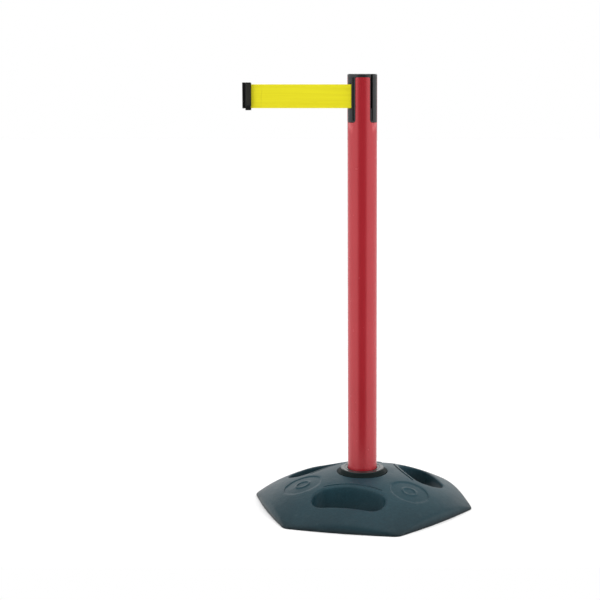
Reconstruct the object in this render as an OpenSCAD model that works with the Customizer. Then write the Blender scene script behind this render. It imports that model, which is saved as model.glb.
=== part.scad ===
// Retractable belt stanchion: rubber base, tubular post, four-way head with a
// spring-wound belt cassette, and a belt that ends in a slide-in tape end.
// Millimetres, +Z up, origin on the floor under the middle of the post.
// The belt leaves the head towards -X.

/* [Overall] */
// Height from the floor to the top of the cap
total_h = 937; // [900:1:1000]
// Outside diameter of the post tube
tube_d = 63.5; // [63:0.1:64]
// Wall thickness of the post tube
tube_wall = 1.5; // [1.2:0.1:1.6]

/* [Base] */
// Radius of the hexagon through its corners, before they are rounded
base_r = 245; // [230:1:260]
// How far each side of the hexagon bows outwards
side_bow = 5; // [0:0.5:8]
// Radius of the rounded corners
corner_r = 20; // [15:1:35]
// Turn of the hexagon about the post, in degrees
base_turn = -12.3; // [-30:0.1:30]
// Height of the dome's crown, before the middle is recessed
dome_h = 74; // [66:0.5:75]
// Radius of the dome's spherical top
dome_r = 455; // [450:5:560]
// Distance from the post to the middle of a hand opening
hand_at = 132; // [128:1:136]
// Length of a hand opening
hand_l = 156; // [130:1:160]
// Width of a hand opening
hand_w = 73; // [60:1:74]

/* [Belt] */
// Width of the belt
belt_w = 50; // [48:0.5:50.5]
// Thickness of the webbing
belt_t = 0.5; // [0.4:0.1:0.6]
// Distance from the post's axis to the tape end's outer end
belt_reach = 253; // [120:1:400]
// Depth of the belt's middle below the top of the cap
belt_drop = 46.6; // [46:0.1:48]

/* [Head] */
// Depth of the windows below the top of the tube
window_h = 95; // [90:1:96]
// Direction of a window's middle, from the front or back, in degrees
window_at = 55; // [54:0.5:56]
// Direction of a receiver's mouth, from the front or back, in degrees
mouth_at = 37.5; // [37.5:0.5:43]
// Turn of the tube and its four windows about the post's axis, in degrees
head_turn = 2; // [1:0.5:3]

/* [Hidden] */
$fn = 96;
e = 0.01;       // overlap that makes a cut clean
fit = 0.05;     // radial play of a snug fit
gap = 0.25;     // play between mouldings

tube_r = tube_d / 2;
tube_ir = tube_r - tube_wall;
cap_t = 7;
tube_top = total_h - cap_t;

// base, from the floor up
well_h = 14;          // counterbore under the base
well_r = 40;
web_h = 8;            // rubber clamped between the socket and the clamp disc
socket_z = well_h + web_h;
socket_floor = 4;
socket_wall = 4;
socket_r = tube_r + gap + socket_wall;
tube_z = socket_z + socket_floor;
seat_z = 67.5;        // recess that the collar sits in
seat_r = 55.5;
collar_r = 54.5;
collar_lip = 5;
collar_step = 3;      // from the collar's lip in to the foot of its flare
collar_top_r = 47;
collar_top = 79.5;
lead_in = 2;          // flare at the top of the socket's bore
hand_round = 30;      // corners of a hand opening
hand_bow = 210;       // radius of its inner edge
groove_at = 8;        // from a hand opening's inner edge to its moulded line
groove_w = 3;
groove_deep = 2.5;
groove_half = 66;
badge_at = 136;
dish_r = 41;
dish_deep = 1.2;
ring_r = 16;
ring_w = 4;
relief_in = 60;       // shallow ring under the base
relief_out = 86;
relief_deep = 2;

// bolt through the base
bolt_r = 5;
bolt_head = 17;       // across its flats
bolt_head_h = 6.4;
clamp_r = 38;
clamp_t = 3;
washer_r = 9;
washer_t = 2.4;

// post foot
plug_l = 30;
plug_well_r = 20;     // hollow in the plug's top
plug_well = 5;
pin_r = 2.5;
pin_from = 14;        // from the axis to a pin's inner end

// head and cassette, from the bottom up
belt_mid = total_h - belt_drop;
belt_z = belt_mid - belt_w / 2;
belt_top = belt_mid + belt_w / 2;
window_z = tube_top - window_h;
window_half = 13.6;
window_corner = 6;
insert_in = 22.4;
insert_out = tube_r - 0.15;
insert_tube_r = tube_ir - gap;
insert_z = window_z + gap;
insert_top = tube_top - 0.2;
insert_half = 32;     // half the angle that a moulding lines behind its window
insert_reach = 34;    // half the angle that it keeps within, clear of the next moulding
screw_at = 26.2;      // from the axis to a moulding's screw
screw_turn = 14;      // from a window's middle to that screw, in degrees
screw_r = 1.25;
screw_head_r = 2.7;
screw_head_h = 1.8;
screw_l = 10;
channel_in = 23.4;
channel_out = 29.7;
channel_half = 4.5;
mouth_half = 2.8;
mouth_deep = 2.2;
mouth_from = 4;       // from the window's foot up to the groove's
slot_w = 3;           // slot that the belt runs out through
slot_front = 1.4;     // of that, in front of the belt's middle
slot_gap = 2;         // above and below the belt
rail_seat = belt_z - 1;
plate_t = 3.8;
shaft_r = 3;
shaft_foot = 6;       // shaft below the cassette plate
shaft_bore = 1.65;    // blind hole for the cap's screw
shaft_bore_l = 14;
nut_across = 10;
flange_r = 21.6;
flange_t = 2;
spool_z = belt_z - 1 - flange_t;
spool_top = belt_top + 1 + flange_t;
drum_r = 7.5;
spool_bore = 4.6;
roll_r = 19.7;
belt_y = -20;
hub_r = 6;
cup_r = 22.2;
cup_t = 1.5;          // floor of the cup, and its cover
cup_wall = 1.4;
cup_z = insert_z + 0.1;
cup_top = spool_z - 4.4;
spring_turns = 6;
spring_t = 0.5;
brake_z = spool_top + 0.1;
pivot_at = 11;
pivot_r = 1.2;
shoe_out = 19.6;
shoe_in = 14;
brake_top = brake_z + 7.2;
rotor_r = 16;
rotor_t = 1.6;
shoe_z = brake_z + 1.9;
shoe_t = 3.7;
boss_r = 2.6;         // round the pin, and half the arm's width
lid_t = 0.4;          // rim between the brake's drum and the plate over it

// cap and its screw
cap_bevel = 1.5;
cap_sink_r = 5.2;     // recess for the screw's head
cap_sink = 4;
cap_hole_r = 2.2;
cap_head_r = 4.4;
cap_screw_r = 1.6;
cap_screw_l = 11;     // below the top of the tube
hex_across = 2.5;

// tape end
rail_l = 4;           // T rail, along the belt
web_l = 1.9;
rail_half = 4.1;
neck_half = 2.2;
clip_x = -belt_reach;
body_x = clip_x + rail_l + web_l;
body_l = 12.8;
body_half = 6.4;
clip_top = belt_top + 4;
rail_z = belt_z - 0.5;
foot_z = belt_z - 4.2;
foot_top = belt_z + 4.3;
loop_x = body_x + 6;
loop_pin_r = 1.5;
loop_room_r = 2.6;    // bore round the belt's loop
belt_slit = 1.4;      // slit that the belt leaves through
pin_short = 5;        // the pin is shorter than the belt is wide
body_edge = 2.5;
foot_edge = 2;
foot_inset = 0.4;

function polar(r, a) = [r * cos(a), r * sin(a)];

// ---------- shared shapes ----------

module ring(r_out, r_in, z0, z1) {
    difference() {
        translate([0, 0, z0]) cylinder(r = r_out, h = z1 - z0);
        translate([0, 0, z0 - 1]) cylinder(r = r_in, h = z1 - z0 + 2);
    }
}

module disc(r, z0, z1) {
    translate([0, 0, z0]) cylinder(r = r, h = z1 - z0);
}

// Wedge of a full-height prism, centred on +X
module wedge(half_angle, r, z0, z1) {
    translate([0, 0, z0]) linear_extrude(z1 - z0)
        polygon([[0, 0], polar(r, -half_angle), [r, 0], polar(r, half_angle)]);
}

// Slab along +X with its two lower edges rounded, as a window or its filler
module window_slab(half, corner, z0, z1, length) {
    union() {
        translate([0, -half, z0 + corner]) cube([length, 2 * half, z1 - z0 - corner]);
        translate([0, -half + corner, z0]) cube([length, 2 * (half - corner), corner + e]);
        for (side = [-1, 1])
            translate([0, side * (half - corner), z0 + corner])
                rotate([0, 90, 0]) cylinder(r = corner, h = length);
    }
}

module hex_head(across, z0, z1) {
    translate([0, 0, z0]) cylinder(r = across / 2 / cos(30), h = z1 - z0, $fn = 6);
}

// ---------- base ----------

// Points of the hexagon: an arc for each corner, then a bowed side
function corner_centre(k) = polar(base_r - corner_r / cos(30), 60 * k);
function corner_arc(k) =
    [for (a = [-30 : 10 : 30]) corner_centre(k) + polar(corner_r, 60 * k + a)];
function side_arc(k) =
    let (from = corner_centre(k) + polar(corner_r, 60 * k + 30),
         to = corner_centre(k + 1) + polar(corner_r, 60 * k + 30))
    [for (t = [1 / 8 : 1 / 8 : 7 / 8])
        from + (to - from) * t + polar(side_bow * 4 * t * (1 - t), 60 * k + 30)];
base_outline = [for (k = [0 : 5]) each concat(corner_arc(k), side_arc(k))];

module dome(drop) {
    translate([0, 0, dome_h - dome_r]) sphere(r = dome_r - drop, $fn = 180);
}

// Opening for a hand, its long way across +X, its inner edge bowed to the post
module hand_outline() {
    inner = hand_at - hand_w / 2;
    round_r = hand_round;
    intersection() {
        translate([inner + hand_bow, 0]) circle(r = hand_bow, $fn = 240);
        union() {
            translate([inner, -hand_l / 2 + round_r]) square([hand_w, hand_l - 2 * round_r]);
            translate([inner + round_r, -hand_l / 2]) square([hand_w - 2 * round_r, hand_l]);
            for (x = [inner + round_r, inner + hand_w - round_r], y = [-1, 1])
                translate([x, y * (hand_l / 2 - round_r)]) circle(r = round_r);
        }
    }
}

// Thin moulded line that follows a hand opening's inner edge
module hand_groove() {
    middle = hand_at - hand_w / 2 + hand_bow;
    line_r = hand_bow + groove_at;
    difference() {
        intersection() {
            translate([middle, 0, 0]) ring(line_r + groove_w, line_r, 20, dome_h + 5);
            translate([0, -groove_half, 0]) cube([middle / 2, 2 * groove_half, dome_h + 9]);
        }
        dome(groove_deep);
    }
}

// Shallow round dish with a plain raised ring, between two hand openings
module badge_cut() {
    difference() {
        translate([badge_at, 0, 20]) cylinder(r = dish_r, h = dome_h);
        dome(dish_deep);
        translate([badge_at, 0, 0]) ring(ring_r, ring_r - ring_w, 10, dome_h + 30);
    }
}

module rubber_base() {
    color("#2b2f31") rotate([0, 0, base_turn]) difference() {
        intersection() {
            linear_extrude(dome_h + 10) polygon(base_outline);
            dome(0);
        }
        for (k = [0 : 2]) {
            rotate([0, 0, 30 + 120 * k]) {
                translate([0, 0, -1]) linear_extrude(dome_h + 12) hand_outline();
                hand_groove();
            }
            rotate([0, 0, 90 + 120 * k]) badge_cut();
        }
        disc(seat_r, seat_z, dome_h + 10);
        disc(socket_r + gap, socket_z, dome_h + 10);
        disc(bolt_r + 1, 1, socket_z + 1);
        disc(well_r, -1, well_h);
        ring(relief_out, relief_in, -1, relief_deep);
    }
}

// Lines the hole in the base, holds the tube's foot and covers the joint
module post_socket() {
    color("#1a1c1d") difference() {
        union() {
            disc(socket_r, socket_z, collar_top - 6);
            disc(collar_r, seat_z, seat_z + collar_lip);
            translate([0, 0, seat_z + collar_lip - e])
                cylinder(r1 = collar_r - collar_step, r2 = collar_top_r,
                         h = collar_top - seat_z - collar_lip + e);
        }
        disc(tube_r + gap, tube_z, collar_top + 1);
        disc(bolt_r + fit, socket_z - 1, tube_z + 1);
        translate([0, 0, collar_top - lead_in])
            cylinder(r1 = tube_r, r2 = tube_r + lead_in + 1, h = lead_in + e);
    }
}

washer_z = well_h - clamp_t - washer_t;

module clamp_disc() {
    color("silver") ring(clamp_r, bolt_r + fit, well_h - clamp_t, well_h);
}

module lock_washer() {
    color("silver") ring(washer_r, bolt_r + fit, washer_z, well_h - clamp_t);
}

module tie_bolt() {
    color("silver") union() {
        hex_head(bolt_head, washer_z - bolt_head_h, washer_z);
        disc(bolt_r, washer_z - 0.1, tube_z + plug_l - plug_well - 1);
    }
}

// ---------- post ----------

// Calls its children for each window, turned so that the window is at +X
module at_windows() {
    for (a = [-90 + window_at, -90 - window_at, 90 - window_at, 90 + window_at])
        rotate([0, 0, a + head_turn]) children();
}

module post_tube() {
    color("#b2323c") difference() {
        ring(tube_r, tube_ir, tube_z, tube_top);
        at_windows() window_slab(window_half, window_corner, window_z, tube_top + 1, tube_r + 2);
        for (k = [0 : 2])
            rotate([0, 0, 120 * k]) translate([0, 0, tube_z + plug_l / 2])
                rotate([0, 90, 0]) cylinder(r = pin_r + fit, h = tube_r + 2);
    }
}

module foot_plug() {
    color("#8d9194") difference() {
        disc(tube_ir - fit, tube_z, tube_z + plug_l);
        disc(bolt_r + fit, tube_z - 1, tube_z + plug_l + 1);
        disc(plug_well_r, tube_z + plug_l - plug_well, tube_z + plug_l + 1);
        for (k = [0 : 2])
            rotate([0, 0, 120 * k]) translate([pin_from, 0, tube_z + plug_l / 2])
                rotate([0, 90, 0]) cylinder(r = pin_r + fit, h = tube_r);
    }
}

module foot_pins() {
    color("silver") for (k = [0 : 2])
        rotate([0, 0, 120 * k]) translate([pin_from + fit, 0, tube_z + plug_l / 2])
            rotate([0, 90, 0]) cylinder(r = pin_r, h = tube_r - pin_from - 0.3);
}

// ---------- head ----------

// Moulding that fills one window and lines the tube behind it, window at +X
module insert_blank() {
    intersection() {
        ring(insert_out, insert_in, insert_z, insert_top);
        wedge(insert_reach, 60, insert_z, insert_top);
        union() {
            intersection() {
                disc(insert_tube_r, insert_z, insert_top);
                wedge(insert_half, 60, insert_z, insert_top);
            }
            window_slab(window_half - gap, window_corner - gap, insert_z, insert_top + 1, 40);
        }
    }
}

// Hole for the screw that holds a moulding to the cassette plate
module insert_screw_hole(side) {
    rotate([0, 0, side * screw_turn]) translate([screw_at, 0, insert_z - 1])
        cylinder(r = screw_r + fit, h = screw_l + 3);
}

// Vertical groove in a moulding's face, turned to the mouth's direction
module mouth_groove(side) {
    rotate([0, 0, side * (mouth_at - window_at)])
        translate([insert_out - mouth_deep, -mouth_half, window_z + mouth_from])
            cube([10, 2 * mouth_half, window_h]);
}

// T-shaped channel that a neighbour's tape end slides down into
module channel_cut(side, z0, z1) {
    rotate([0, 0, side * (mouth_at - window_at)]) {
        translate([channel_in, -channel_half, z0])
            cube([channel_out - channel_in, 2 * channel_half, z1 - z0]);
        translate([channel_out - 1, -mouth_half, z0]) cube([10, 2 * mouth_half, z1 - z0]);
    }
}

// side is 1 where the mouth is turned clockwise of the window's middle
module receiver(angle, side) {
    color("#1f2224") rotate([0, 0, angle + head_turn]) difference() {
        insert_blank();
        channel_cut(side, rail_seat, insert_top + 2);
        mouth_groove(side);
        insert_screw_hole(side);
    }
}

module receiver_front_right() { receiver(-90 + window_at, 1); }
module receiver_rear_right() { receiver(90 - window_at, -1); }
module receiver_rear_left() { receiver(90 + window_at, 1); }

module belt_guide() {
    color("#1f2224") difference() {
        rotate([0, 0, -90 - window_at + head_turn]) difference() {
            insert_blank();
            mouth_groove(-1);
            insert_screw_hole(-1);
        }
        translate([-60, belt_y - slot_front, belt_z - slot_gap])
            cube([60, slot_w, belt_w + 2 * slot_gap]);
    }
}

module cassette_plate() {
    color("#1f2224") difference() {
        disc(insert_tube_r, insert_z - plate_t, insert_z);
        disc(shaft_r + fit, insert_z - plate_t - 1, insert_z + 1);
        for (spot = screw_spots)
            translate([spot[0], spot[1], insert_z - plate_t - 1]) cylinder(r = screw_r + gap, h = plate_t + 2);
    }
}

screw_spots = [for (side = [-1, 1], end = [-90, 90])
    polar(screw_at, end + side * (window_at + screw_turn) + head_turn)];

module cassette_screws() {
    color("silver") for (spot = screw_spots) translate([spot[0], spot[1], 0]) {
        disc(screw_head_r, insert_z - plate_t - screw_head_h, insert_z - plate_t);
        disc(screw_r, insert_z - plate_t - 0.1, insert_z + screw_l);
    }
}

module spool_shaft() {
    color("silver") difference() {
        disc(shaft_r, insert_z - plate_t - shaft_foot, tube_top - 0.5);
        disc(shaft_bore, tube_top - shaft_bore_l, tube_top + 1);
    }
}

module shaft_nut() {
    color("silver") difference() {
        hex_head(nut_across, insert_z - plate_t - shaft_foot + 1, insert_z - plate_t);
        disc(shaft_r + fit, insert_z - plate_t - shaft_foot, insert_z - plate_t + 1);
    }
}

// ---------- power spring ----------

module spring_cup() {
    color("#3a3d40") difference() {
        union() {
            disc(cup_r, cup_z, cup_z + cup_t);
            ring(cup_r, cup_r - cup_wall, cup_z, cup_top);
        }
        disc(shaft_r + 0.4, cup_z - 1, cup_z + 3);
    }
}

module spring_cover() {
    color("#3a3d40") ring(cup_r, hub_r + 0.6, cup_top, cup_top + cup_t);
}

// Flat strip wound in an even spiral between the spool's hub and the cup
spring_from = hub_r + 0.4;
spring_to = cup_r - cup_wall - 0.4;
function spiral(t, shift) =
    polar(spring_from + (spring_to - spring_from) * t + shift, 360 * spring_turns * t);
spring_steps = spring_turns * 20;

module power_spring() {
    color("#6f7478") translate([0, 0, cup_z + 3]) linear_extrude(cup_top - cup_z - 5)
        polygon(concat(
            [for (i = [0 : spring_steps]) spiral(i / spring_steps, 0)],
            [for (i = [spring_steps : -1 : 0]) spiral(i / spring_steps, spring_t)]));
}

// ---------- spool ----------

module spool() {
    color("#d8d8d2") difference() {
        union() {
            disc(hub_r, cup_z + 4, spool_z + 1);
            disc(flange_r, spool_z, spool_z + flange_t);
            disc(drum_r, spool_z, spool_top);
            disc(flange_r, spool_top - flange_t, spool_top);
            disc(hub_r, spool_top - 1, brake_z + 4);
        }
        disc(spool_bore, cup_z, brake_top);
    }
}

module bush(z0) {
    color("#e8e4d8") ring(spool_bore - 0.02, shaft_r + 0.06, z0, z0 + 8);
}

module bush_lower() { bush(cup_z + 6); }
module bush_upper() { bush(spool_top - 8); }

// The wound turns of the belt
module belt_roll() {
    color("#e6d91f") ring(roll_r, drum_r + 0.02, belt_z, belt_top);
}

// ---------- retraction brake ----------

module brake_rotor() {
    color("#c8b070") difference() {
        disc(rotor_r, brake_z, brake_z + rotor_t);
        disc(hub_r + 0.02, brake_z - 1, brake_z + 3);
        for (a = [0, 180]) rotate([0, 0, a])
            translate([pivot_at, 0, brake_z - 1]) cylinder(r = pivot_r + 0.01, h = 4);
    }
}

module brake_pins() {
    color("silver") for (a = [0, 180]) rotate([0, 0, a])
        translate([pivot_at, 0, brake_z]) cylinder(r = pivot_r, h = 6);
}

// Weighted arm that swings out about its pin as the spool speeds up
module brake_shoe(turn) {
    color("#7a4a2c") rotate([0, 0, turn]) difference() {
        union() {
            intersection() {
                ring(shoe_out, shoe_in, shoe_z, shoe_z + shoe_t);
                translate([0, 0, brake_z]) linear_extrude(8)
                    polygon([[0, 0], polar(40, 0), polar(40, 50), polar(40, 100), polar(40, 140)]);
            }
            translate([pivot_at, -boss_r, shoe_z])
                cube([shoe_in - pivot_at + boss_r, 2 * boss_r, shoe_t]);
            translate([pivot_at, 0, shoe_z]) cylinder(r = boss_r, h = shoe_t);
        }
        translate([pivot_at, 0, brake_z]) cylinder(r = pivot_r + fit, h = 9);
    }
}

module brake_shoe_a() { brake_shoe(0); }
module brake_shoe_b() { brake_shoe(180); }

module brake_drum() {
    color("#3a3d40") ring(cup_r, shoe_out + 0.8, brake_z + 0.6, brake_top - lid_t);
}

module top_plate() {
    color("#1f2224") ring(cup_r, shaft_r + fit, brake_top - lid_t, tube_top - 1.2);
}

// ---------- cap ----------

module top_cap() {
    color("#17191a") difference() {
        union() {
            disc(tube_r, tube_top, total_h - cap_bevel);
            translate([0, 0, total_h - cap_bevel])
                cylinder(r1 = tube_r, r2 = tube_r - cap_bevel, h = cap_bevel);
        }
        disc(cap_sink_r, total_h - cap_sink, total_h + 1);
        disc(cap_hole_r, tube_top - 1, total_h);
        rotate([0, 0, head_turn]) {
            rotate([0, 0, -90 + window_at]) channel_cut(1, tube_top - 1, total_h + 1);
            rotate([0, 0, 90 - window_at]) channel_cut(-1, tube_top - 1, total_h + 1);
            rotate([0, 0, 90 + window_at]) channel_cut(1, tube_top - 1, total_h + 1);
        }
    }
}

module cap_screw() {
    color("silver") difference() {
        union() {
            disc(cap_head_r, total_h - cap_sink, total_h - 1);
            disc(cap_screw_r, tube_top - cap_screw_l, total_h - cap_sink + 0.1);
        }
        hex_head(hex_across, total_h - 2.6, total_h);
    }
}

// ---------- belt and tape end ----------

// The stretch of belt outside the roll, with the loop sewn round its pin
module belt_strip() {
    color("#e6d91f") translate([0, belt_y, belt_z]) linear_extrude(belt_w) difference() {
        union() {
            translate([loop_x, -belt_t / 2]) square([-2 - loop_x, belt_t]);
            translate([loop_x, 0]) circle(r = loop_pin_r + 0.1 + belt_t, $fn = 48);
        }
        translate([loop_x, 0]) circle(r = loop_pin_r + 0.05, $fn = 48);
    }
}

module belt_pin() {
    color("silver") translate([loop_x, belt_y, foot_top])
        cylinder(r = loop_pin_r, h = belt_w - pin_short, $fn = 48);
}

// Body of the tape end with its T rail, standing on the separate foot
module tape_end_body() {
    edge = body_edge;
    color("#17191a") difference() {
        union() {
            for (y = [-1, 1], x = [body_x + edge, body_x + body_l - edge])
                translate([x, belt_y + y * (body_half - edge), foot_top])
                    cylinder(r = edge, h = clip_top - foot_top);
            translate([body_x, belt_y - body_half + edge, foot_top])
                cube([body_l, 2 * (body_half - edge), clip_top - foot_top]);
            translate([body_x + edge, belt_y - body_half, foot_top])
                cube([body_l - 2 * edge, 2 * body_half, clip_top - foot_top]);
            translate([clip_x + 1, belt_y - neck_half, rail_z])
                cube([rail_l + web_l - 1 + e, 2 * neck_half, clip_top - rail_z]);
            translate([clip_x, belt_y - rail_half, rail_z])
                cube([rail_l, 2 * rail_half, clip_top - rail_z]);
        }
        translate([loop_x, belt_y, foot_top - 1])
            cylinder(r = loop_room_r, h = belt_top - foot_top + 1.5);
        translate([loop_x, belt_y - belt_slit / 2, foot_top - 1])
            cube([20, belt_slit, belt_top - foot_top + 1.5]);
    }
}

// Closes the bottom of the tape end and keeps the belt's pin in
module tape_end_foot() {
    edge = foot_edge;
    inset = foot_inset;
    x0 = body_x + 0.6;
    x1 = body_x + body_l - inset;
    color("#17191a") difference() {
        union() {
            for (y = [-1, 1], x = [x0 + edge, x1 - edge])
                translate([x, belt_y + y * (body_half - inset - edge), foot_z])
                    cylinder(r = edge, h = foot_top - foot_z);
            translate([x0, belt_y - body_half + inset + edge, foot_z])
                cube([x1 - x0, 2 * (body_half - inset - edge), foot_top - foot_z]);
            translate([x0 + edge, belt_y - body_half + inset, foot_z])
                cube([x1 - x0 - 2 * edge, 2 * (body_half - inset), foot_top - foot_z]);
        }
        translate([loop_x, belt_y, belt_z - 0.4]) cylinder(r = loop_room_r, h = 9);
        translate([loop_x, belt_y - belt_slit / 2, belt_z - 0.4]) cube([20, belt_slit, 9]);
    }
}

// ---------- output ----------

rubber_base();
post_socket();
clamp_disc();
lock_washer();
tie_bolt();
post_tube();
foot_plug();
foot_pins();
receiver_front_right();
receiver_rear_right();
receiver_rear_left();
belt_guide();
cassette_plate();
cassette_screws();
spool_shaft();
shaft_nut();
spring_cup();
spring_cover();
power_spring();
spool();
bush_lower();
bush_upper();
belt_roll();
brake_rotor();
brake_pins();
brake_shoe_a();
brake_shoe_b();
brake_drum();
top_plate();
top_cap();
cap_screw();
belt_strip();
tape_end_body();
tape_end_foot();
belt_pin();
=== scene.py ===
# Retractable belt stanchion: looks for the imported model.
# Metres, in the model's own frame: +Z up, floor at z = 0, post on the Z axis, belt towards -X.
import math

import bmesh
import bpy
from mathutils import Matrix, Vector
from mathutils.geometry import delaunay_2d_cdt


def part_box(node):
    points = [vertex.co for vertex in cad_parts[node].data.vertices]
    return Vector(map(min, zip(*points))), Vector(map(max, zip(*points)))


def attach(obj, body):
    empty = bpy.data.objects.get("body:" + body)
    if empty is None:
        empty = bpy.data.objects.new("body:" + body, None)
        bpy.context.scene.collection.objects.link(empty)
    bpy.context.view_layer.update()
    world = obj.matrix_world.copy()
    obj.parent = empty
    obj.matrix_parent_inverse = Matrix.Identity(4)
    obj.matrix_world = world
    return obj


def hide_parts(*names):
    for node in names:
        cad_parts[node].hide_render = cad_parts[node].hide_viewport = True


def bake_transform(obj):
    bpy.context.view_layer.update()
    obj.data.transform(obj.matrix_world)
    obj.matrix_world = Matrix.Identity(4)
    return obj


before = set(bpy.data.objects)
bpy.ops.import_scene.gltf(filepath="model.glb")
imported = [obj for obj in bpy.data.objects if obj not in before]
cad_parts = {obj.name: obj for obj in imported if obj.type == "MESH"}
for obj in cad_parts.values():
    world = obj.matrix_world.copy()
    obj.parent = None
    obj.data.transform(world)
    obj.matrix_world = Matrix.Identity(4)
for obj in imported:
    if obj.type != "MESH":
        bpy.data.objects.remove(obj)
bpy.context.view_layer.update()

MM = 0.001
ROOT = "post_assembly"
BELT_END = "belt_end"

# ---------------------------------------------------------------- places taken from the frame

TUBE_LO, TUBE_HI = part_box("post_tube")
TUBE_R = TUBE_HI.x
COLLAR_LO, COLLAR_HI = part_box("post_socket")
STRIP_LO, STRIP_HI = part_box("belt_strip")
CLIP_LO, CLIP_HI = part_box("tape_end_body")
FOOT_LO, FOOT_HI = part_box("tape_end_foot")
BELT_Y = (STRIP_LO.y + STRIP_HI.y) / 2


# ---------------------------------------------------------------- node materials

def fill_ramp(node, stops):
    """Sets a colour ramp's stops; each is (position, colour or grey)."""
    elements = node.color_ramp.elements
    while len(elements) < len(stops):
        elements.new(0.5)
    for element, (position, colour) in zip(elements, stops):
        element.position = position
        grey = isinstance(colour, (int, float))
        element.color = (colour, colour, colour, 1) if grey else (*colour, 1)


class Shader:
    """A Principled material whose colour, roughness and bump come from nodes in object space."""

    def __init__(self, name, colour, roughness, metallic=0.0, **sockets):
        self.material = bpy.data.materials.new(name)
        self.material.use_nodes = True
        self.material.diffuse_color = (*colour, 1)
        self.tree = self.material.node_tree
        self.bsdf = self.tree.nodes["Principled BSDF"]
        self.bsdf.inputs["Base Color"].default_value = (*colour, 1)
        self.bsdf.inputs["Roughness"].default_value = roughness
        self.bsdf.inputs["Metallic"].default_value = metallic
        for socket, value in sockets.items():
            self.bsdf.inputs[socket.replace("_", " ")].default_value = value
        self.place = self.node("ShaderNodeTexCoord").outputs["Object"]
        self.bumps = None

    def node(self, kind, **settings):
        made = self.tree.nodes.new(kind)
        for key, value in settings.items():
            setattr(made, key, value)
        return made

    def link(self, source, target):
        self.tree.links.new(source, target)

    def stretched(self, scale):
        """Object coordinates with each axis scaled, for grain that runs one way."""
        mapping = self.node("ShaderNodeMapping")
        mapping.inputs["Scale"].default_value = scale
        self.link(self.place, mapping.inputs["Vector"])
        return mapping.outputs["Vector"]

    def noise(self, scale, detail=3.0, roughness=0.55, place=None):
        made = self.node("ShaderNodeTexNoise")
        made.inputs["Scale"].default_value = scale
        made.inputs["Detail"].default_value = detail
        made.inputs["Roughness"].default_value = roughness
        self.link(place or self.place, made.inputs["Vector"])
        return made.outputs["Fac"]

    def cells(self, scale):
        made = self.node("ShaderNodeTexVoronoi")
        made.inputs["Scale"].default_value = scale
        self.link(self.place, made.inputs["Vector"])
        return made

    def wave(self, scale, axis):
        made = self.node("ShaderNodeTexWave", wave_type="BANDS", bands_direction=axis)
        made.inputs["Scale"].default_value = scale
        self.link(self.place, made.inputs["Vector"])
        return made.outputs["Fac"]

    def ramp(self, value, *stops):
        """Colour ramp; each stop is (position, colour or grey)."""
        made = self.node("ShaderNodeValToRGB")
        fill_ramp(made, stops)
        self.link(value, made.inputs["Fac"])
        return made.outputs["Color"]

    def mix(self, blend, factor, a, b):
        """Mixes two colours; each may be a socket or a colour."""
        made = self.node("ShaderNodeMix", data_type="RGBA", blend_type=blend)
        for socket, value in ((made.inputs[0], factor), (made.inputs[6], a), (made.inputs[7], b)):
            if isinstance(value, bpy.types.NodeSocket):
                self.link(value, socket)
            elif isinstance(value, (int, float)):
                socket.default_value = value
            else:
                socket.default_value = (*value, 1)
        return made.outputs[2]

    def math(self, operation, a, b=0.0):
        made = self.node("ShaderNodeMath", operation=operation)
        for socket, value in zip(made.inputs, (a, b)):
            if isinstance(value, bpy.types.NodeSocket):
                self.link(value, socket)
            else:
                socket.default_value = value
        return made.outputs[0]

    def height(self, low, high):
        """0 to 1 from one height to another, in the object's own metres."""
        split = self.node("ShaderNodeSeparateXYZ")
        self.link(self.place, split.inputs[0])
        made = self.node("ShaderNodeMapRange")
        made.inputs["From Min"].default_value = low
        made.inputs["From Max"].default_value = high
        self.link(split.outputs["Z"], made.inputs["Value"])
        return made.outputs["Result"]

    def range(self, value, low, high):
        """Maps 0..1 to low..high."""
        made = self.node("ShaderNodeMapRange")
        made.inputs["To Min"].default_value = low
        made.inputs["To Max"].default_value = high
        self.link(value, made.inputs["Value"])
        return made.outputs["Result"]

    def bump(self, height, distance, strength=1.0):
        """Adds relief; distance is its depth in metres."""
        made = self.node("ShaderNodeBump")
        made.inputs["Distance"].default_value = distance
        made.inputs["Strength"].default_value = strength
        self.link(height, made.inputs["Height"])
        if self.bumps:
            self.link(self.bumps, made.inputs["Normal"])
        self.bumps = made.outputs["Normal"]
        self.link(self.bumps, self.bsdf.inputs["Normal"])

    def colour(self, socket):
        self.link(socket, self.bsdf.inputs["Base Color"])

    def roughness(self, socket):
        self.link(socket, self.bsdf.inputs["Roughness"])


PAINTED_SHADE_TOP = 60 * MM    # painted shade: below this height the base's colour darkens towards the floor
MOULD_GRAIN = 1100.0   # scale of the fine grain on a moulding
MARKS_SCALE = 45.0     # scale of the handling marks on a black moulding


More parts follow.
